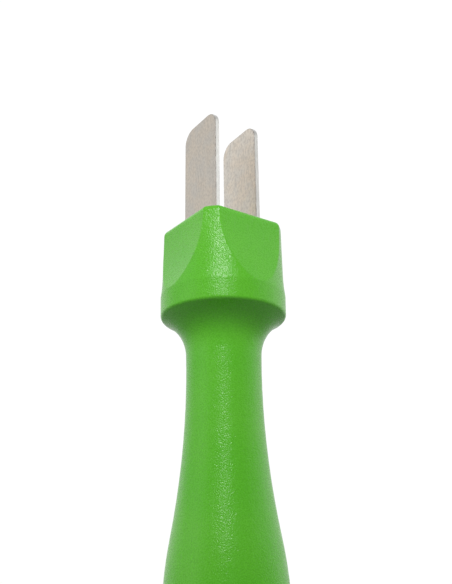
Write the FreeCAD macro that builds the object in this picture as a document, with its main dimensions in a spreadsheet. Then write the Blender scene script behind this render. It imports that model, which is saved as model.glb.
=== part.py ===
"""Divot repair tool: a moulded handle with a four-sided head, and two flat steel prongs side by side.

The tool stands on its flat butt with the prongs up: +Z runs along its axis and the origin is the centre of
the butt. The prongs' broad faces look along X, one prong each side of the axis.

How it is built: both prongs are pinned into a square block, the block drops into a pocket in the head, and
a screw driven up the hollow handle pulls it down. A snap-in cap closes the handle.
"""

import FreeCAD
import Part
import math
import os
import Sketcher

V = FreeCAD.Vector

# Positions closer than this count as the same, edges shorter than this aren't picked for dressing, and cuts
# that run out of a solid run this much further. In millimetres.
SAME = 0.01
SHORTEST = 1.0
OVERSHOOT = 1.0

# Driving dimensions in millimetres. Heights are measured from the butt.
DIMENSIONS = {
    # outside of the handle, from the head down to the cap
    "HeadTop": 111.9,
    "HeadTopRadius": 14.6,
    "HollowTop": 98.6,
    "HollowRadius": 14.74,
    "HollowCurve": 44.0,
    "BandTop": 92.9,
    "BandRadius": 15.17,
    "RimHeight": 88.5,
    "RimRadius": 15.12,
    "RimRound": 1.05,
    "FlareCurve": 10.45,
    "WaistRadius": 8.9,
    "WaistHeight": 73.5,
    "WaistCurve": 195.0,
    "GripRadius": 14.0,
    "GripCurve": 90.0,
    # four hollow flats round the head
    "FlatDistance": 11.65,
    "FlatCurve": 48.0,
    "FlatHeight": 111.0,
    "FlatEdgeRound": 0.5,
    "HeadEdgeRound": 1.8,
    # inside of the handle
    "PocketWidth": 17.5,
    "PocketCorner": 2.0,
    "PocketFloor": 92.2,
    "ScrewHoleRadius": 2.2,
    "BoreTop": 87.0,
    "BoreTopRadius": 5.0,
    "BoreFootRadius": 10.0,
    "SeatRadius": 10.4,
    "SeatTop": 14.0,
    # cap, with a bead that snaps into the handle's seat
    "CapHeight": 6.0,
    "CapFootRadius": 12.0,
    "CapRound": 4.5,
    "CapFloor": 3.0,
    "SpigotTop": 13.0,
    "SpigotWall": 1.9,
    "BeadHeight": 10.5,
    "BeadHalfWidth": 0.7,
    "BeadRise": 0.3,
    "SeamBevel": 0.25,
    # block that holds the prongs
    "SlotClearance": 0.05,
    "BlockBevel": 0.3,
    # prongs
    "ProngSpacing": 12.2,
    "ProngThickness": 1.2,
    "ProngWidth": 14.0,
    "ProngHighSide": 140.95,
    "ProngLowSide": 140.3,
    "ProngHighRound": 3.4,
    "ProngLowRound": 3.9,
    "ProngEdgeRound": 0.2,
    "ShoulderHeight": 109.0,
    "TangWidth": 9.0,
    "TangFoot": 96.0,
    # pins through block and tangs
    "PinRadius": 1.25,
    "PinLength": 17.1,
    "PinBevel": 0.3,
    "LowerPinHeight": 101.0,
    "UpperPinHeight": 106.5,
    # screw and washer
    "ScrewRadius": 2.0,
    "ScrewTip": 98.8,
    "ScrewPoint": 1.2,
    "ScrewHeadRadius": 3.75,
    "ScrewHeadHeight": 2.6,
    "ScrewHeadRound": 1.2,
    "DriveWidth": 1.1,
    "DriveLength": 4.4,
    "DriveDepth": 1.5,
    "WasherRadius": 4.5,
    "WasherThickness": 0.8,
}


class Size:
    """A number together with the spreadsheet formula that gives it. Geometry is drawn at the number and
    then bound to the formula."""

    def __init__(self, value, formula):
        self.value = value
        self.formula = formula

    def joined(self, sign, other, value):
        return Size(value, f"({self.formula} {sign} {other.formula})")

    def __add__(self, other):
        other = as_size(other)
        return self.joined("+", other, self.value + other.value)

    def __sub__(self, other):
        other = as_size(other)
        return self.joined("-", other, self.value - other.value)

    def __mul__(self, other):
        other = as_size(other)
        return self.joined("*", other, self.value * other.value)

    def __truediv__(self, other):
        other = as_size(other)
        return self.joined("/", other, self.value / other.value)

    def __neg__(self):
        return self * -1

    def root(self):
        return Size(math.sqrt(self.value), f"sqrt({self.formula})")


def as_size(number):
    """A plain number as a Size."""
    return number if isinstance(number, Size) else Size(float(number), str(number))


class Dimensions:
    """The spreadsheet's cells, each a Size under its alias."""

    def __init__(self, sheet, table):
        for row, (alias, value) in enumerate(table.items(), start=1):
            sheet.set(f"A{row}", alias)
            sheet.set(f"B{row}", str(value))
            sheet.setAlias(f"B{row}", alias)
            setattr(self, alias, Size(value, f"{sheet.Name}.{alias}"))


doc = FreeCAD.newDocument("DivotRepairTool")
dim = Dimensions(doc.addObject("Spreadsheet::Sheet", "Sizes"), DIMENSIONS)
doc.recompute()

# Sizes that follow from the driving ones.
GRIP_CENTRE = dim.GripRadius - dim.GripCurve
GRIP_RISE = dim.GripRadius - dim.WaistRadius
CENTRE_GAP = dim.WaistCurve + dim.GripCurve
GRIP_DROP = (CENTRE_GAP * GRIP_RISE * 2 - GRIP_RISE * GRIP_RISE).root()
GRIP_HEIGHT = dim.WaistHeight - GRIP_DROP
SEAM_DROP = dim.CapHeight - GRIP_HEIGHT
SEAM_RADIUS = GRIP_CENTRE + (dim.GripCurve * dim.GripCurve - SEAM_DROP * SEAM_DROP).root()
WASHER_SEAT = dim.BoreTop - dim.WasherThickness


def new_body(label):
    body = doc.addObject("PartDesign::Body", label)
    body.Label = label
    return body


def origin_feature(body, role):
    """One of the body's own origin planes or axes."""
    return next(feature for feature in body.Origin.OriginFeatures if feature.Role == role)


def new_sketch(body, name, role="XZ_Plane", offset=None):
    """A sketch on one of the body's origin planes, moved along the plane's normal by offset."""
    sketch = body.newObject("Sketcher::SketchObject", name)
    sketch.AttachmentSupport = [(origin_feature(body, role), "")]
    sketch.MapMode = "FlatFace"
    if offset:
        sketch.setExpression("AttachmentOffset.Base.z", offset.formula)
    return sketch


def constrain(sketch, kind, *where, to=None):
    """Adds one constraint and, where it has a value, binds it to the size given in to."""
    if to is None:
        sketch.addConstraint(Sketcher.Constraint(kind, *where))
        return
    number = sketch.addConstraint(Sketcher.Constraint(kind, *where, to.value))
    sketch.setExpression(f"Constraints[{number}]", to.formula)


def place_point(sketch, geometry, end, x, y):
    """Holds one point of a geometry at x and y from the sketch's origin. A 0 puts it on the axis."""
    for distance, axis, kind in ((x, -2, "DistanceX"), (y, -1, "DistanceY")):
        if distance == 0:
            constrain(sketch, "PointOnObject", geometry, end, axis)
        else:
            constrain(sketch, kind, -1, 1, geometry, end, to=distance)


def draw_outline(sketch, corners):
    """A closed outline of straight sides through corners, each an (x, y) pair of sizes."""
    points = [V(as_size(x).value, as_size(y).value, 0) for x, y in corners]
    sides = []
    for start, stop in zip(points, points[1:] + points[:1]):
        sides.append(sketch.addGeometry(Part.LineSegment(start, stop), False))
    for side, following, (x, y) in zip(sides, sides[1:] + sides[:1], corners):
        constrain(sketch, "Coincident", side, 2, following, 1)
        place_point(sketch, side, 1, x, y)
    return sketch


def draw_rectangle(sketch, left, bottom, right, top):
    return draw_outline(sketch, [(left, bottom), (right, bottom), (right, top), (left, top)])


def draw_circle(sketch, x, y, radius):
    centre = V(as_size(x).value, as_size(y).value, 0)
    circle = sketch.addGeometry(Part.Circle(centre, V(0, 0, 1), radius.value), False)
    constrain(sketch, "Radius", circle, to=radius)
    place_point(sketch, circle, 3, x, y)
    return sketch


def turn(body, sketch, name, cut=False):
    """Turns a half section on the XZ plane about the body's Z axis, to add a solid or to cut one."""
    feature = body.newObject("PartDesign::Groove" if cut else "PartDesign::Revolution", name)
    feature.Profile = sketch
    feature.ReferenceAxis = (origin_feature(body, "Z_Axis"), [""])
    feature.Angle = 360
    doc.recompute()
    return feature


def pad(body, sketch, name, length, both_ways=False):
    feature = body.newObject("PartDesign::Pad", name)
    feature.Profile = sketch
    feature.setExpression("Length", length.formula)
    feature.Midplane = both_ways
    doc.recompute()
    return feature


def pocket(body, sketch, name, depth, both_ways=False, upward=False):
    """A cut from the sketch down along its normal, or up, or both ways. It has to take something away."""
    before = body.Shape.Volume
    feature = body.newObject("PartDesign::Pocket", name)
    feature.Profile = sketch
    feature.setExpression("Length", depth.formula)
    feature.Midplane = both_ways
    feature.Reversed = upward
    doc.recompute()
    if feature.Shape.Volume > before - SAME:
        raise RuntimeError(f"{body.Label}: {name} cuts nothing")
    return feature


def dress(body, kind, name, amount, wanted):
    """A Fillet or a Chamfer of the body's edges for which wanted(bounding box) is true."""
    base = body.Tip
    edges = [f"Edge{i}" for i, edge in enumerate(base.Shape.Edges, start=1) if wanted(edge.BoundBox)]
    if not edges:
        raise RuntimeError(f"{body.Label}: no edges for {name}")
    feature = body.newObject(f"PartDesign::{kind}", name)
    feature.Base = (base, edges)
    feature.setExpression("Radius" if kind == "Fillet" else "Size", amount.formula)
    doc.recompute()
    return feature


def same(first, second):
    return abs(first - second) < SAME


def at_height(box, height):
    """Whether an edge lies level at this height."""
    return same(box.ZMin, height.value) and same(box.ZMax, height.value)


def is_upright_corner(box, half):
    """Whether an edge is upright and lies in a corner of the square about the axis with this half width."""
    in_corner = same(abs(box.XMin), half.value) and same(abs(box.YMin), half.value)
    return in_corner and box.ZLength > SHORTEST and same(box.XLength, 0) and same(box.YLength, 0)


def is_seam_edge(box):
    """Whether an edge is the outer one at the seam between handle and cap."""
    return at_height(box, dim.CapHeight) and box.XMax > SEAM_RADIUS.value - SAME


def is_flat_border(box):
    """Whether an edge climbs the wall of the head, as the borders of its flats do."""
    return box.ZMin > dim.BandTop.value and box.ZLength > SHORTEST


def is_tip_corner(box, side, height):
    """Whether an edge crosses a prong's thickness at this side and height."""
    return same(box.YMin, side.value) and same(box.ZMin, height.value) and box.XLength > SHORTEST


def is_blade_border(box):
    """Whether an edge borders a prong's broad face above the shoulders."""
    return same(box.XLength, 0) and box.ZMax > dim.ShoulderHeight.value + SHORTEST


def flare_centre():
    """Centre of the flare's arc, which runs into the rim's rounding on one side and the waist's curve on
    the other. It is the lower crossing of two circles, one about each of those arcs' centres."""
    rim = V(dim.RimRadius.value - dim.RimRound.value, dim.RimHeight.value, 0)
    waist = V(dim.WaistRadius.value + dim.WaistCurve.value, dim.WaistHeight.value, 0)
    from_rim = dim.RimRound.value + dim.FlareCurve.value
    from_waist = dim.WaistCurve.value - dim.FlareCurve.value
    gap = (waist - rim).Length
    along = (from_rim**2 - from_waist**2 + gap**2) / (2 * gap)
    aside = math.sqrt(from_rim**2 - along**2)
    ahead = (waist - rim).normalize()
    return rim + ahead * along + V(ahead.y, -ahead.x, 0) * aside


def arc_centre(start, stop, radius):
    """Centre of the short arc of this radius that runs anticlockwise from start to stop."""
    half = (stop - start) / 2
    rise = math.sqrt(radius**2 - half.Length**2)
    return start + half + V(-half.y, half.x, 0).normalize() * rise


def add_arc(sketch, centre, radius, start, stop):
    """An arc drawn anticlockwise from start to stop, with its radius bound to a size."""
    angles = [math.atan2(point.y - centre.y, point.x - centre.x) for point in (start, stop)]
    circle = Part.Circle(centre, V(0, 0, 1), radius.value)
    arc = sketch.addGeometry(Part.ArcOfCircle(circle, *angles), False)
    constrain(sketch, "Radius", arc, to=radius)
    return arc


def between(first, second, distance):
    """The point that far from first on the line to second."""
    return first + (second - first).normalize() * distance


def draw_handle_section(sketch):
    """Half section of the handle's outside. The grip, waist, flare and rim are arcs that run into one
    another without a corner. A straight band stands on the rim, and a hollow leads up to the wall."""
    grip_centre = V(GRIP_CENTRE.value, GRIP_HEIGHT.value, 0)
    waist_centre = V(dim.WaistRadius.value + dim.WaistCurve.value, dim.WaistHeight.value, 0)
    rim_centre = V(dim.RimRadius.value - dim.RimRound.value, dim.RimHeight.value, 0)
    seam = V(SEAM_RADIUS.value, dim.CapHeight.value, 0)
    grip_end = between(grip_centre, waist_centre, dim.GripCurve.value)
    waist_end = between(waist_centre, flare_centre(), dim.WaistCurve.value)
    flare_end = between(rim_centre, flare_centre(), dim.RimRound.value)
    rim_end = V(dim.RimRadius.value, dim.RimHeight.value, 0)
    band_end = V(dim.BandRadius.value, dim.BandTop.value, 0)
    hollow_end = V(dim.HollowRadius.value, dim.HollowTop.value, 0)
    wall_end = V(dim.HeadTopRadius.value, dim.HeadTop.value, 0)

    grip = add_arc(sketch, grip_centre, dim.GripCurve, seam, grip_end)
    waist = add_arc(sketch, waist_centre, dim.WaistCurve, waist_end, grip_end)
    flare = add_arc(sketch, flare_centre(), dim.FlareCurve, flare_end, waist_end)
    rim = add_arc(sketch, rim_centre, dim.RimRound, flare_end, rim_end)
    hollow_centre = arc_centre(hollow_end, band_end, dim.HollowCurve.value)
    hollow = add_arc(sketch, hollow_centre, dim.HollowCurve, hollow_end, band_end)
    band = sketch.addGeometry(Part.LineSegment(rim_end, band_end), False)
    straight = [hollow_end, wall_end, V(0, wall_end.y, 0), V(0, seam.y, 0), seam]
    sides = [Part.LineSegment(start, stop) for start, stop in zip(straight, straight[1:])]
    wall, top, axis, foot = (sketch.addGeometry(side, False) for side in sides)

    constrain(sketch, "Tangent", grip, 2, waist, 2)
    constrain(sketch, "Tangent", waist, 1, flare, 2)
    constrain(sketch, "Tangent", flare, 1, rim, 1)
    for first, first_end, second, second_end in (
        (rim, 2, band, 1),
        (band, 2, hollow, 2),
        (hollow, 1, wall, 1),
        (wall, 2, top, 1),
        (top, 2, axis, 1),
        (axis, 2, foot, 1),
        (foot, 2, grip, 1),
    ):
        constrain(sketch, "Coincident", first, first_end, second, second_end)
    constrain(sketch, "DistanceX", -1, 1, grip, 3, to=GRIP_CENTRE)
    place_point(sketch, waist, 3, dim.WaistRadius + dim.WaistCurve, dim.WaistHeight)
    place_point(sketch, rim, 3, dim.RimRadius - dim.RimRound, dim.RimHeight)
    constrain(sketch, "DistanceY", -1, 1, rim, 2, to=dim.RimHeight)
    place_point(sketch, band, 2, dim.BandRadius, dim.BandTop)
    place_point(sketch, wall, 1, dim.HollowRadius, dim.HollowTop)
    place_point(sketch, wall, 2, dim.HeadTopRadius, dim.HeadTop)
    constrain(sketch, "Horizontal", top)
    constrain(sketch, "PointOnObject", axis, 1, -2)
    constrain(sketch, "PointOnObject", axis, 2, -2)
    constrain(sketch, "Horizontal", foot)
    constrain(sketch, "DistanceY", -1, 1, foot, 2, to=dim.CapHeight)
    return sketch


def cut_head_flats(body):
    """Four hollow flats, each cut by a large cylinder that lies across the head and ends above the band."""
    cutter_centre = dim.FlatDistance + dim.FlatCurve
    cutter = draw_circle(new_sketch(body, "flat_cutter"), cutter_centre, dim.FlatHeight, dim.FlatCurve)
    first = pocket(body, cutter, "first_flat", dim.BandRadius * 2 + OVERSHOOT, both_ways=True)
    ring = body.newObject("PartDesign::PolarPattern", "head_flats")
    ring.Originals = [first]
    ring.Axis = (origin_feature(body, "Z_Axis"), [""])
    ring.Angle = 360
    ring.Occurrences = 4
    body.Tip = ring
    doc.recompute()
    return ring


def add_bead(section, radius):
    """The corners of a snap bead on a section's wall of this radius, from the bottom up."""
    return section + [
        (radius, dim.BeadHeight - dim.BeadHalfWidth),
        (radius + dim.BeadRise, dim.BeadHeight),
        (radius, dim.BeadHeight + dim.BeadHalfWidth),
    ]


def make_handle():
    body = new_body("handle")
    turn(body, draw_handle_section(new_sketch(body, "outside")), "turned_outside")
    cut_head_flats(body)
    dress(body, "Fillet", "flat_edges", dim.FlatEdgeRound, is_flat_border)
    dress(body, "Fillet", "top_edges", dim.HeadEdgeRound, lambda box: at_height(box, dim.HeadTop))

    half = dim.PocketWidth / 2
    mouth = new_sketch(body, "pocket_mouth", "XY_Plane", dim.HeadTop)
    draw_rectangle(mouth, -half, -half, half, half)
    pocket(body, mouth, "block_pocket", dim.HeadTop - dim.PocketFloor)
    dress(body, "Fillet", "pocket_corners", dim.PocketCorner, lambda box: is_upright_corner(box, half))

    foot = [(0, dim.CapHeight), (dim.SeatRadius, dim.CapHeight)]
    bore = add_bead(foot, dim.SeatRadius) + [
        (dim.SeatRadius, dim.SeatTop),
        (dim.BoreFootRadius, dim.SeatTop),
        (dim.BoreTopRadius, dim.BoreTop),
        (dim.ScrewHoleRadius, dim.BoreTop),
        (dim.ScrewHoleRadius, dim.PocketFloor + OVERSHOOT),
        (0, dim.PocketFloor + OVERSHOOT),
    ]
    turn(body, draw_outline(new_sketch(body, "bore_section"), bore), "bore", cut=True)
    dress(body, "Chamfer", "seam_bevel", dim.SeamBevel, is_seam_edge)
    return body


def make_cap():
    """Cap with a rounded foot and a hollow spigot whose bead snaps into the handle's seat."""
    body = new_body("end_cap")
    foot = [
        (0, 0),
        (dim.CapFootRadius, 0),
        (SEAM_RADIUS, dim.CapHeight),
        (dim.SeatRadius, dim.CapHeight),
    ]
    section = add_bead(foot, dim.SeatRadius) + [
        (dim.SeatRadius, dim.SpigotTop),
        (dim.SeatRadius - dim.SpigotWall, dim.SpigotTop),
        (dim.SeatRadius - dim.SpigotWall, dim.CapFloor),
        (0, dim.CapFloor),
    ]
    turn(body, draw_outline(new_sketch(body, "cap_section"), section), "turned_cap")
    dress(body, "Fillet", "foot_round", dim.CapRound, lambda box: box.ZMax < SAME)
    dress(body, "Chamfer", "seam_bevel", dim.SeamBevel, is_seam_edge)
    return body


def make_block():
    """Square block with a slot for each prong, a deeper one for its tang, two cross holes and a blind
    screw hole."""
    body = new_body("prong_block")
    half = dim.PocketWidth / 2
    base = new_sketch(body, "block_foot", "XY_Plane", dim.PocketFloor)
    draw_rectangle(base, -half, -half, half, half)
    pad(body, base, "block", dim.HeadTop - dim.PocketFloor)
    dress(body, "Fillet", "corners", dim.PocketCorner, lambda box: is_upright_corner(box, half))
    dress(body, "Chamfer", "mouth_bevel", dim.BlockBevel, lambda box: at_height(box, dim.HeadTop))

    gap = dim.ProngThickness / 2 + dim.SlotClearance
    slots = (("prong", dim.ProngWidth, dim.ShoulderHeight), ("tang", dim.TangWidth, dim.TangFoot))
    for side, name in ((-1, "left"), (1, "right")):
        middle = dim.ProngSpacing / 2 * side
        for part, width, floor in slots:
            reach = width / 2 + dim.SlotClearance
            mouth = new_sketch(body, f"{name}_{part}_mouth", "XY_Plane", dim.HeadTop)
            draw_rectangle(mouth, middle - gap, -reach, middle + gap, reach)
            pocket(body, mouth, f"{name}_{part}_slot", dim.HeadTop - floor)

    for name, height in (("lower", dim.LowerPinHeight), ("upper", dim.UpperPinHeight)):
        hole = draw_circle(new_sketch(body, f"{name}_pin_circle", "YZ_Plane"), 0, height, dim.PinRadius)
        pocket(body, hole, f"{name}_pin_hole", dim.PocketWidth + OVERSHOOT, both_ways=True)
    hole = draw_circle(new_sketch(body, "screw_circle", "XY_Plane", dim.PocketFloor), 0, 0, dim.ScrewRadius)
    pocket(body, hole, "screw_hole", dim.ScrewTip - dim.PocketFloor, upward=True)
    return body


def make_prong(name, side):
    """Flat steel prong with a sloping tip and rounded corners, above a narrower tang with two pin holes.
    side is -1 on the left of the axis and 1 on the right."""
    body = new_body(name)
    edge = dim.ProngWidth / 2
    tang = dim.TangWidth / 2
    sketch = new_sketch(body, "prong_outline", "YZ_Plane", dim.ProngSpacing / 2 * side)
    draw_outline(
        sketch,
        [
            (-tang, dim.TangFoot),
            (tang, dim.TangFoot),
            (tang, dim.ShoulderHeight),
            (edge, dim.ShoulderHeight),
            (edge, dim.ProngLowSide),
            (-edge, dim.ProngHighSide),
            (-edge, dim.ShoulderHeight),
            (-tang, dim.ShoulderHeight),
        ],
    )
    for height in (dim.LowerPinHeight, dim.UpperPinHeight):
        draw_circle(sketch, 0, height, dim.PinRadius)
    pad(body, sketch, "plate", dim.ProngThickness, both_ways=True)

    corners = (
        ("high_corner", dim.ProngHighRound, -edge, dim.ProngHighSide),
        ("low_corner", dim.ProngLowRound, edge, dim.ProngLowSide),
    )
    for corner, radius, border, height in corners:
        dress(body, "Fillet", corner, radius, lambda box: is_tip_corner(box, border, height))
    dress(body, "Fillet", "tumbled_edges", dim.ProngEdgeRound, is_blade_border)
    return body


def make_pin(name, height):
    """Steel cross pin with bevelled ends."""
    body = new_body(name)
    circle = draw_circle(new_sketch(body, "pin_circle", "YZ_Plane"), 0, height, dim.PinRadius)
    pad(body, circle, "rod", dim.PinLength, both_ways=True)
    dress(body, "Chamfer", "bevels", dim.PinBevel, lambda box: same(box.XLength, 0))
    return body


def make_screw():
    """Pan-head screw with a cross drive. It is driven upwards, so its head is at the bottom."""
    body = new_body("block_screw")
    head_foot = WASHER_SEAT - dim.ScrewHeadHeight
    section = new_sketch(body, "screw_section")
    draw_outline(
        section,
        [
            (0, head_foot),
            (dim.ScrewHeadRadius, head_foot),
            (dim.ScrewHeadRadius, WASHER_SEAT),
            (dim.ScrewRadius, WASHER_SEAT),
            (dim.ScrewRadius, dim.ScrewTip - dim.ScrewPoint),
            (dim.ScrewRadius / 2, dim.ScrewTip),
            (0, dim.ScrewTip),
        ],
    )
    turn(body, section, "turned_screw")
    dress(body, "Fillet", "head_round", dim.ScrewHeadRound, lambda box: at_height(box, head_foot))
    long = dim.DriveLength / 2
    short = dim.DriveWidth / 2
    for name, x, y in (("first", long, short), ("second", short, long)):
        mouth = draw_rectangle(new_sketch(body, f"{name}_drive_mouth", "XY_Plane", head_foot), -x, -y, x, y)
        pocket(body, mouth, f"{name}_drive_slot", dim.DriveDepth, upward=True)
    return body


def make_washer():
    body = new_body("screw_washer")
    ring = new_sketch(body, "washer_circles", "XY_Plane", WASHER_SEAT)
    draw_circle(ring, 0, 0, dim.WasherRadius)
    draw_circle(ring, 0, 0, dim.ScrewHoleRadius)
    pad(body, ring, "ring", dim.WasherThickness)
    return body


def check(bodies):
    """Stops if anything in the document failed, or a sub-part isn't one sound solid."""
    for item in doc.Objects:
        if {"Invalid", "Error"} & set(item.State):
            raise RuntimeError(f"{item.Name} ({item.Label}) is {item.State}")
    for body in bodies:
        if body.Shape.isNull() or not body.Shape.isValid() or len(body.Shape.Solids) != 1:
            raise RuntimeError(f"{body.Label} isn't one valid solid")


def export(bodies):
    os.makedirs("parts", exist_ok=True)
    for body in bodies:
        body.Shape.exportStep(f"parts/{body.Label}.step")
        box = body.Shape.optimalBoundingBox()
        print(f"{body.Label}: {body.Shape.Volume:.1f} mm3, z {box.ZMin:.2f} to {box.ZMax:.2f}, "
              f"{box.XLength:.2f} x {box.YLength:.2f} across")


bodies = [
    make_handle(),
    make_cap(),
    make_block(),
    make_prong("left_prong", -1),
    make_prong("right_prong", 1),
    make_pin("lower_pin", dim.LowerPinHeight),
    make_pin("upper_pin", dim.UpperPinHeight),
    make_screw(),
    make_washer(),
]
doc.recompute()
check(bodies)
export(bodies)
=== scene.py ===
"""Looks of the divot repair tool: satin moulded plastic, tumbled stainless prongs and zinc-plated fasteners,
on a pale floor in soft studio light. Lengths are in metres. The tool stands at the origin, prongs up."""

import bpy
import math
from mathutils import Matrix, Vector

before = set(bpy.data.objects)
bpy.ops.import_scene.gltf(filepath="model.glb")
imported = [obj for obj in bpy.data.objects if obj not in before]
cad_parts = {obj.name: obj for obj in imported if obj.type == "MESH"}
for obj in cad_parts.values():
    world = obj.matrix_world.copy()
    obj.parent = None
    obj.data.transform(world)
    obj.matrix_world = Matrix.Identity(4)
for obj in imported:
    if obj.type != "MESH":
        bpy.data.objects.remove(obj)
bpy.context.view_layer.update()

# The camera looks up at the tool. TURN is from +Y towards +X, and angles are in degrees.
CAMERA_TURN = 35.4
CAMERA_PITCH = 21.0
CAMERA_ROLL = -0.75
CAMERA_DISTANCE = 0.1938
CAMERA_HEIGHT = 0.0205
CAMERA_SHIFT = 0.00072
SENSOR = 36.0
LENS = 52.4
NEAR = 0.01

AHEAD = Vector((math.sin(math.radians(CAMERA_TURN)), math.cos(math.radians(CAMERA_TURN)), 0))
RIGHT = Vector((AHEAD.y, -AHEAD.x, 0))
UP = Vector((0, 0, 1))

LIGHT_AIM = Vector((0, 0, 0.104))

# Strength of the white world behind the camera, behind the tool and overhead, and where each takes over.
WORLD_FRONT = 0.28
WORLD_BACK = 1.03
WORLD_OVERHEAD = 0.3
AROUND_SPAN = (-0.6, 0.75)
OVERHEAD_SPAN = (0.72, 0.95)

# A mask that rises with its source, and one that falls with it.
RISE = (0.0, 1.0)
FALL = (1.0, 0.0)

# Most noise lies in the wide span. The narrow one gives patches with clearer borders.
WIDE = (0.3, 0.7)
NARROW = (0.35, 0.65)

# Colours are linear.
PLASTIC_GREEN = (0.112, 0.560, 0.019)
PLASTIC_PALE = (0.136, 0.585, 0.029)
PLASTIC_SPECK = (0.085, 0.435, 0.013)
PLASTIC_WORN = (0.22, 0.62, 0.10)
# The next colour is painted shade for plastic surfaces that look down.
PLASTIC_PAINTED_SHADE = (0.055, 0.31, 0.008)
STEEL_WARM = (0.70, 0.63, 0.54)
STEEL_COOL = (0.66, 0.62, 0.56)
STEEL_SPECK = (0.33, 0.30, 0.27)
# The steel's edge colour is partly the edges' polish and partly painted highlight.
STEEL_EDGE = (0.73, 0.73, 0.70)
# The next colour is painted dark reflection for the rounded borders and corners of the steel.
STEEL_PAINTED_DARK_REFLECTION = (0.22, 0.20, 0.19)
STEEL_TIP = (0.95, 0.94, 0.92)
ZINC_PALE = (0.66, 0.66, 0.64)
ZINC_DARK = (0.50, 0.51, 0.52)
FLOOR_PALE = (0.66, 0.66, 0.65)
FLOOR_DARK = (0.62, 0.62, 0.61)

# Roughness, from the glossiest grain to the dullest.
PLASTIC_GLOSS = (0.22, 0.34)
STEEL_GLOSS = (0.34, 0.46)
ZINC_GLOSS = (0.28, 0.42)
FLOOR_GLOSS = 0.7
PLASTIC_IOR = 1.49
PLASTIC_SPECULAR = 0.38

# Plastic. SIZE or WIDTH is how large a feature is, DEPTH is its relief, SPAN holds the values of its source
# between which it sets in, and TINT is how strongly it colours. TURN is the cosine of a corner's turn.
FLOW_SIZE = 0.018
GRAIN_SIZE = 0.00032
GRAIN_DEPTH = 0.00009
SWELL_SIZE = 0.0022
SWELL_DEPTH = 0.00006
SCUFF_SIZE = 0.0011
SCUFF_SPAN = (0.42, 0.66)
SCUFF_SHARE = (0.25, 1.0)
WORN_WIDTH = 0.0007
WORN_TURN = 0.93
WORN_TINT = 0.35
WORN_SHINE = 0.06
SPECK_SPAN = (0.3, 0.6)
SPECK_TINT = (0.25, 0.0)
# Painted shade: where the plastic darkens as its surface turns to look down, and how strongly.
UNDERSIDE_PAINTED_SHADE_SPAN = (-0.85, -0.1)
UNDERSIDE_PAINTED_SHADE_TINT = (0.8, 0.0)

# Steel, in the same terms. Edges, borders and tips set in by which way the surface looks, as a cosine.
MOTTLE_SIZE = 0.00048
MOTTLE_STRETCH = (1, 1, 1.5)
MOTTLE_DEPTH = 0.000004
STREAK_SIZE = 0.00022
STREAK_STRETCH = (1, 1, 22)
STREAK_DEPTH = 0.000003
PATCH_SIZE = 0.0042
EDGE_SPAN = (0.1, 0.6)
BORDER_SPAN = (0.6, 0.99)
TIP_SPAN = (0.15, 0.6)
MOTTLE_SHARE = 0.7
STREAK_SHARE = 0.3
GRIT_SPAN = (0.35, 0.62)
GRIT_TINT = (0.42, 0.0)
# Painted dark reflection: the border and outline tints set how dark the rounded borders and corners are
# painted.
BORDER_TINT = 0.8
BORDER_DULL = 0.2
OUTLINE_WIDTH = 0.0004
OUTLINE_TURN = 0.965
OUTLINE_TINT = 0.7

# Zinc and floor, in the same terms.
CRYSTAL_SIZE = 0.0012
PIT_SIZE = 0.00025
PIT_DEPTH = 0.00001
FLOOR_SIZE = 6.0
CLOUD_SIZE = 0.15
FLOOR_GRAIN_SIZE = 0.002
FLOOR_GRAIN_DEPTH = 0.00005

# The cosine of the turn up to which the edge mask takes a surface as flat, and how many rays it sends out.
FLAT_TURN = 0.999
EDGE_SAMPLES = 8

# Places of unnamed sockets on Blender's Mix node.
MIX_SHARE, MIX_NUMBERS, MIX_COLOURS = 0, (2, 3), (6, 7)
MIX_NUMBER_OUT, MIX_COLOUR_OUT = 0, 2


def add_camera():
    data = bpy.data.cameras.new("main_camera")
    camera = bpy.data.objects.new("main_camera", data)
    bpy.context.scene.collection.objects.link(camera)
    data.sensor_fit = "AUTO"
    data.sensor_width = SENSOR
    data.lens = LENS
    data.clip_start = NEAR
    pitch = math.radians(CAMERA_PITCH)
    look = AHEAD * math.cos(pitch) + UP * math.sin(pitch)
    basis = Matrix((RIGHT, RIGHT.cross(look), -look)).transposed()
    roll = Matrix.Rotation(math.radians(CAMERA_ROLL), 3, "Z")
    place = UP * CAMERA_HEIGHT - AHEAD * CAMERA_DISTANCE + RIGHT * CAMERA_SHIFT
    camera.matrix_world = Matrix.Translation(place) @ (basis @ roll).to_4x4()
    bpy.context.scene.camera = camera


def add_node(tree, kind, inputs=(), **settings):
    """A shader node. inputs pairs a socket's name or place with a value or with the output that feeds it."""
    node = tree.nodes.new(f"ShaderNode{kind}")
    for name, value in settings.items():
        setattr(node, name, value)
    for socket, value in inputs:
        if isinstance(value, bpy.types.NodeSocket):
            tree.links.new(value, node.inputs[socket])
        else:
            node.inputs[socket].default_value = value
    return node


def add_range(tree, value, old, new):
    """value carried smoothly from the range old to the range new, and held at its ends."""
    inputs = [
        ("Value", value),
        ("From Min", old[0]),
        ("From Max", old[1]),
        ("To Min", new[0]),
        ("To Max", new[1]),
    ]
    return add_node(tree, "MapRange", inputs, interpolation_type="SMOOTHSTEP").outputs["Result"]


def add_math(tree, operation, *values, **settings):
    return add_node(tree, "Math", list(enumerate(values)), operation=operation, **settings).outputs[0]


def add_dot(tree, first, second):
    node = add_node(tree, "VectorMath", [(0, first), (1, second)], operation="DOT_PRODUCT")
    return node.outputs["Value"]


def add_noise(tree, size, detail=2.0, stretch=(1, 1, 1)):
    """Noise with features about as long as size, drawn out along an axis by stretch."""
    place = add_node(tree, "TexCoord").outputs["Object"]
    scale = [1 / (size * pull) for pull in stretch]
    spread = add_node(tree, "Mapping", [("Vector", place), ("Scale", scale)])
    inputs = [("Vector", spread.outputs[0]), ("Scale", 1.0), ("Detail", detail)]
    return add_node(tree, "TexNoise", inputs).outputs["Fac"]


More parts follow.
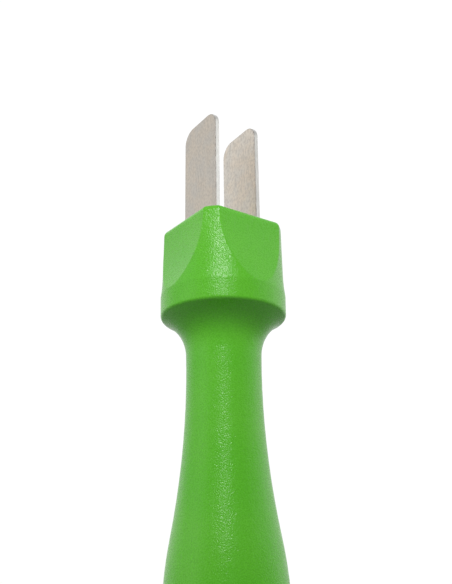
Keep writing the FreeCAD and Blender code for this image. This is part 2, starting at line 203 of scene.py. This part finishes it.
def add_mix(tree, share, first, second):
    """first where share is 0, second where it is 1. Both are linear colours or outputs."""
    whole = [value if isinstance(value, bpy.types.NodeSocket) else (*value, 1) for value in (first, second)]
    inputs = [(MIX_SHARE, share), *zip(MIX_COLOURS, whole)]
    return add_node(tree, "Mix", inputs, data_type="RGBA").outputs[MIX_COLOUR_OUT]


def add_edges(tree, width, strongest):
    """1 on a corner that turns the surface by more than the cosine strongest, 0 a width away from it."""
    rounded = add_node(tree, "Bevel", [("Radius", width)], samples=EDGE_SAMPLES).outputs[0]
    flat = add_node(tree, "NewGeometry").outputs["Normal"]
    return add_range(tree, add_dot(tree, rounded, flat), (FLAT_TURN, strongest), RISE)


def add_bump(tree, layers):
    """Bump maps laid one over another. Each layer is a height output with its depth."""
    normal = None
    for height, depth in layers:
        inputs = [("Height", height), ("Distance", depth), ("Strength", 1.0)]
        if normal:
            inputs.append(("Normal", normal))
        normal = add_node(tree, "Bump", inputs).outputs[0]
    return normal


def new_material(name):
    material = bpy.data.materials.new(name)
    material.use_nodes = True
    return material, material.node_tree, material.node_tree.nodes["Principled BSDF"]


def connect(tree, shader, **sources):
    """Feeds the shader's sockets. Underscores in the names stand for spaces."""
    for name, source in sources.items():
        tree.links.new(source, shader.inputs[name.replace("_", " ")])


def make_plastic():
    """Moulded plastic with a fine spark-eroded grain, faint colour flow, edges rubbed paler and smoother, and
    painted shade where the surface looks down."""
    material, tree, shader = new_material("green_plastic")
    flow = add_noise(tree, FLOW_SIZE, detail=3.0)
    grain = add_noise(tree, GRAIN_SIZE, detail=1.0)
    swell = add_noise(tree, SWELL_SIZE)
    scuffs = add_range(tree, add_noise(tree, SCUFF_SIZE, detail=4.0), SCUFF_SPAN, SCUFF_SHARE)
    worn = add_math(tree, "MULTIPLY", add_edges(tree, WORN_WIDTH, WORN_TURN), scuffs)
    downward = add_dot(tree, add_node(tree, "NewGeometry").outputs["Normal"], UP)

    colour = add_mix(tree, add_range(tree, flow, WIDE, RISE), PLASTIC_GREEN, PLASTIC_PALE)
    colour = add_mix(tree, add_range(tree, grain, SPECK_SPAN, SPECK_TINT), colour, PLASTIC_SPECK)
    colour = add_mix(tree, add_math(tree, "MULTIPLY", worn, WORN_TINT), colour, PLASTIC_WORN)
    # Painted shade, darkening the plastic where the surface looks down.
    colour = add_mix(tree, add_range(tree, downward, UNDERSIDE_PAINTED_SHADE_SPAN, UNDERSIDE_PAINTED_SHADE_TINT), colour, PLASTIC_PAINTED_SHADE)
    gloss = add_range(tree, grain, WIDE, PLASTIC_GLOSS)
    gloss = add_math(tree, "SUBTRACT", gloss, add_math(tree, "MULTIPLY", worn, WORN_SHINE))
    normal = add_bump(tree, [(swell, SWELL_DEPTH), (grain, GRAIN_DEPTH)])
    connect(tree, shader, Base_Color=colour, Roughness=gloss, Normal=normal)
    shader.inputs["IOR"].default_value = PLASTIC_IOR
    shader.inputs["Specular IOR Level"].default_value = PLASTIC_SPECULAR
    return material


def make_steel(name, face_painted_light, edge_painted_light):
    """Tumbled stainless strip: mottled satin faces with a lengthwise grain, bright edges behind dark borders,
    and polished tips. The edges are partly polish and partly painted highlight, and the borders are painted
    dark reflection. The two painted-light factors scale the colours of the broad faces and of the edges,
    making lit and shaded copies of one steel."""
    material, tree, shader = new_material(name)
    normal = add_node(tree, "NewGeometry").outputs["Normal"]
    mottle = add_noise(tree, MOTTLE_SIZE, detail=4.0, stretch=MOTTLE_STRETCH)
    streaks = add_noise(tree, STREAK_SIZE, detail=2.0, stretch=STREAK_STRETCH)
    patches = add_noise(tree, PATCH_SIZE, detail=3.0)
    grit = add_math(tree, "MULTIPLY", streaks, STREAK_SHARE)
    grit = add_math(tree, "MULTIPLY_ADD", mottle, MOTTLE_SHARE, grit)
    facing = add_math(tree, "ABSOLUTE", add_dot(tree, normal, (1, 0, 0)))
    edge = add_range(tree, facing, EDGE_SPAN, FALL)
    border = add_math(tree, "SUBTRACT", add_range(tree, facing, BORDER_SPAN, FALL), edge)
    outline = add_math(tree, "SUBTRACT", add_edges(tree, OUTLINE_WIDTH, OUTLINE_TURN), edge)
    outline = add_math(tree, "MULTIPLY", outline, OUTLINE_TINT, use_clamp=True)
    tip = add_range(tree, add_dot(tree, normal, UP), TIP_SPAN, RISE)

    # Painted light: the two factors make lit and shaded copies of one steel.
    warm, cool = [tuple(part * face_painted_light for part in tint) for tint in (STEEL_WARM, STEEL_COOL)]
    bright = tuple(part * edge_painted_light for part in STEEL_EDGE)
    colour = add_mix(tree, add_range(tree, patches, NARROW, RISE), warm, cool)
    colour = add_mix(tree, add_range(tree, grit, GRIT_SPAN, GRIT_TINT), colour, STEEL_SPECK)
    # Bright edges, partly polish and partly painted highlight.
    colour = add_mix(tree, edge, colour, bright)
    # Painted dark reflection along the rounded borders and the corners.
    colour = add_mix(tree, add_math(tree, "MULTIPLY", border, BORDER_TINT), colour, STEEL_PAINTED_DARK_REFLECTION)
    colour = add_mix(tree, outline, colour, STEEL_PAINTED_DARK_REFLECTION)
    colour = add_mix(tree, tip, colour, STEEL_TIP)
    gloss = add_range(tree, mottle, WIDE, STEEL_GLOSS)
    gloss = add_math(tree, "MULTIPLY_ADD", border, BORDER_DULL, gloss)
    relief = add_bump(tree, [(mottle, MOTTLE_DEPTH), (streaks, STREAK_DEPTH)])
    connect(tree, shader, Base_Color=colour, Roughness=gloss, Normal=relief)
    shader.inputs["Metallic"].default_value = 1.0
    return material


def make_zinc():
    """Bright zinc plating with faint crystal patches."""
    material, tree, shader = new_material("zinc_steel")
    crystals = add_noise(tree, CRYSTAL_SIZE, detail=4.0)
    colour = add_mix(tree, add_range(tree, crystals, NARROW, RISE), ZINC_DARK, ZINC_PALE)
    gloss = add_range(tree, crystals, WIDE, ZINC_GLOSS)
    relief = add_bump(tree, [(add_noise(tree, PIT_SIZE), PIT_DEPTH)])
    connect(tree, shader, Base_Color=colour, Roughness=gloss, Normal=relief)
    shader.inputs["Metallic"].default_value = 1.0
    return material


def add_floor():
    bpy.ops.mesh.primitive_plane_add(size=FLOOR_SIZE)
    floor = bpy.context.object
    floor.name = "floor"
    material, tree, shader = new_material("pale_floor")
    cloud = add_noise(tree, CLOUD_SIZE, detail=4.0)
    colour = add_mix(tree, add_range(tree, cloud, WIDE, RISE), FLOOR_DARK, FLOOR_PALE)
    relief = add_bump(tree, [(add_noise(tree, FLOOR_GRAIN_SIZE), FLOOR_GRAIN_DEPTH)])
    connect(tree, shader, Base_Color=colour, Normal=relief)
    shader.inputs["Roughness"].default_value = FLOOR_GLOSS
    floor.data.materials.append(material)


def add_world():
    """White behind the tool as the camera sees it, and dimmer in front and overhead."""
    world = bpy.data.worlds.new("studio")
    world.use_nodes = True
    tree = world.node_tree
    direction = add_node(tree, "TexCoord").outputs["Generated"]
    around = add_range(tree, add_dot(tree, direction, AHEAD), AROUND_SPAN, (WORLD_FRONT, WORLD_BACK))
    overhead = add_range(tree, add_dot(tree, direction, UP), OVERHEAD_SPAN, RISE)
    inputs = [(MIX_SHARE, overhead), *zip(MIX_NUMBERS, (around, WORLD_OVERHEAD))]
    strength = add_node(tree, "Mix", inputs, data_type="FLOAT").outputs[MIX_NUMBER_OUT]
    background = tree.nodes["Background"]
    background.inputs["Color"].default_value = (1, 1, 1, 1)
    tree.links.new(strength, background.inputs["Strength"])
    bpy.context.scene.world = world
    bpy.context.scene.view_settings.view_transform = "Standard"


def add_softbox(name, turn, elevation, distance, width, height, power, spread=180):
    """A soft light aimed at the tool. turn is from -Y towards -X. Angles are in degrees, power in watts."""
    data = bpy.data.lights.new(name, "AREA")
    data.shape = "RECTANGLE"
    data.size = width
    data.size_y = height
    data.energy = power
    data.spread = math.radians(spread)
    light = bpy.data.objects.new(name, data)
    bpy.context.scene.collection.objects.link(light)
    turn, elevation = math.radians(turn), math.radians(elevation)
    away = UP * math.sin(elevation) - Vector((math.sin(turn), math.cos(turn), 0)) * math.cos(elevation)
    light.location = LIGHT_AIM + away * distance
    light.rotation_euler = away.to_track_quat("Z", "Y").to_euler()


def dress(material, *nodes):
    """Gives CAD nodes a material in place of their own."""
    for node in nodes:
        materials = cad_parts[node].data.materials
        materials.clear()
        materials.append(material)


add_camera()
add_floor()
add_world()
add_softbox("key", turn=38, elevation=32, distance=0.29, width=0.055, height=0.085, power=0.067, spread=70)
add_softbox("side", turn=-45, elevation=30, distance=2.5, width=0.9, height=0.9, power=2.9)
add_softbox("left", turn=100, elevation=20, distance=2.5, width=1.5, height=1.5, power=7)
add_softbox("right", turn=-75, elevation=15, distance=2.5, width=1.5, height=1.5, power=3)
dress(make_plastic(), "handle", "end_cap", "prong_block")
# One steel for both prongs, in lit and shaded copies: painted light brightens the left prong's edges and the
# right prong's faces.
dress(make_steel("left_prong_steel_painted_light", face_painted_light=1.0, edge_painted_light=1.33), "left_prong")
dress(make_steel("right_prong_steel_painted_light", face_painted_light=1.27, edge_painted_light=1.0), "right_prong")
dress(make_zinc(), "lower_pin", "upper_pin", "block_screw", "screw_washer")
